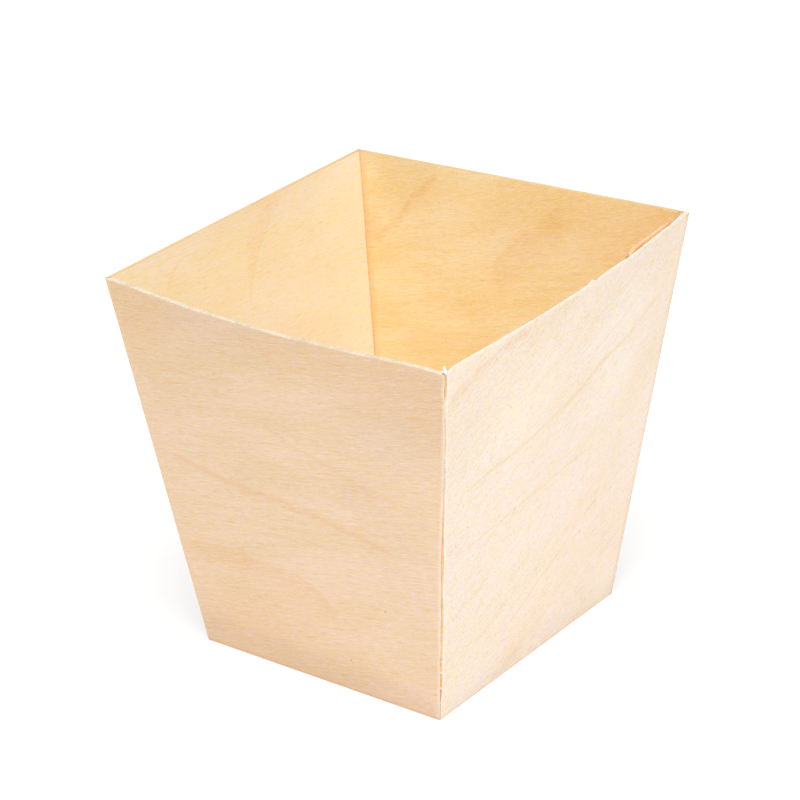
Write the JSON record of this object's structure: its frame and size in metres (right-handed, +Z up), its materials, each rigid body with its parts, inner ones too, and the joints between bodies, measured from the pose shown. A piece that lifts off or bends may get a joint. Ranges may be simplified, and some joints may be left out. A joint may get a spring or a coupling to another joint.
{
  "type": "folded veneer finger food bowl",
  "caption": "Square tapered finger food bowl folded from one sheet of thin pale veneer, open at the top, with scored folds, a glued seam and a flat floor.",
  "frame": {"origin": "middle of the base, on the surface it stands on", "axes": "+Z up out of the mouth; -Y through the front wall that holds the glue tab; -X through the left wall; the seam corner is at +X -Y"},
  "size_m": [0.0627, 0.0618, 0.0622],
  "materials": {
    "veneer": "raw"
  },
  "bodies": {
    "root": {"bowl": "veneer"}
  },
  "joints": []
}
